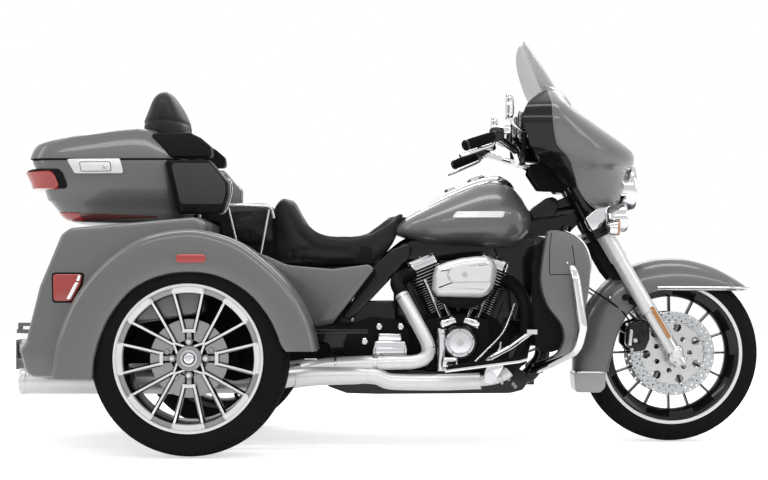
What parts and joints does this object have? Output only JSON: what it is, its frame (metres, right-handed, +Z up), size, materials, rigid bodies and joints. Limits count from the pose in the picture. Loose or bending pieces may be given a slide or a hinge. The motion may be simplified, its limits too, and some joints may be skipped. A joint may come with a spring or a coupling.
{
  "type": "motorized trike",
  "caption": "Full-dress motorized trike with a V-twin engine, fork-mounted fairing, wide rear body with a trunk, and a lidded top case behind two seats.",
  "frame": {"origin": "on the ground, at the centre of the bounding box's base", "axes": "+X forward, +Y to the rider's left, +Z up"},
  "size_m": [2.67, 1.39, 1.442],
  "materials": {
    "body_paint": "gloss grey paint with clear coat",
    "black_metal": "satin black enamel",
    "engine_black": "wrinkle black with machined fin edges",
    "chrome": "bright chrome",
    "tyre": "matt tread, satin side walls",
    "wheel": "black cast wheel with machined faces",
    "steel": "ground steel discs",
    "leather": "black grained leather",
    "black_plastic": "black moulded plastic",
    "red_lens": "red lens",
    "clear_screen": "clear screen",
    "lamp": "clear lens over a bright reflector",
    "grip_rubber": "black ribbed rubber"
  },
  "bodies": {
    "chassis": {"air_cleaner": "chrome", "case_latch": "chrome", "case_tub": "body_paint", "cylinders": "engine_black", "engine_case": "engine_black", "engine_covers": "chrome", "engine_guard": "chrome", "exhaust_pipes": "chrome", "fender_left": "body_paint", "fender_right": "body_paint", "foot_pedals": "chrome", "footboards": "chrome", "frame": "black_metal", "fuel_tank": "body_paint", "grab_rails": "chrome", "leg_fairing_inners": "black_plastic", "leg_fairings": "body_paint", "mufflers": "chrome", "passenger_seat": "leather", "pushrod_tubes": "chrome", "rear_axle": "black_metal", "rear_fascia": "body_paint", "rear_lamps": "red_lens", "rider_seat": "leather", "rocker_covers": "chrome", "side_covers": "body_paint", "speaker_pods": "black_plastic", "tank_console": "chrome", "trunk_shell": "body_paint"},
    "trunk_door": {"trunk_door": "body_paint"},
    "case_lid": {"backrest": "leather", "case_lid": "body_paint"},
    "steering": {"brake_calipers": "black_metal", "fairing_inner": "black_plastic", "fairing_outer": "body_paint", "fork_legs": "chrome", "fork_yokes": "black_metal", "front_fender": "body_paint", "grips": "grip_rubber", "handlebar": "chrome", "headlamp": "lamp", "light_bar": "chrome", "mirrors": "chrome", "windscreen": "clear_screen"},
    "front_wheel": {"front_discs": "steel", "front_rim": "wheel", "front_tyre": "tyre"},
    "rear_wheel_right": {"rear_rim_right": "wheel", "rear_tyre_right": "tyre"},
    "rear_wheel_left": {"rear_rim_left": "wheel", "rear_tyre_left": "tyre"}
  },
  "joints": [
    {"name": "steer", "type": "hinge", "parent": "chassis", "child": "steering", "pos_m": [0.69801, 0, 0.857], "axis": [-0.4384, 0, 0.8988], "range_deg": [-35, 35]},
    {"name": "front_wheel_spin", "type": "hinge", "parent": "steering", "child": "front_wheel", "pos_m": [1.016, 0, 0.319], "axis": [0, 1, 0], "continuous": true},
    {"name": "rear_right_spin", "type": "hinge", "parent": "chassis", "child": "rear_wheel_right", "pos_m": [-0.654, -0.548, 0.325], "axis": [0, 1, 0], "continuous": true},
    {"name": "rear_left_spin", "type": "hinge", "parent": "chassis", "child": "rear_wheel_left", "pos_m": [-0.654, 0.548, 0.325], "axis": [0, 1, 0], "continuous": true},
    {"name": "trunk_door_swing", "type": "hinge", "parent": "chassis", "child": "trunk_door", "pos_m": [-1.296, 0, 0.404], "axis": [0, -1, 0], "range_deg": [0, 80]},
    {"name": "case_lid_swing", "type": "hinge", "parent": "chassis", "child": "case_lid", "pos_m": [-0.97, 0.301, 1], "axis": [-1, 0, 0], "range_deg": [0, 65]}
  ]
}
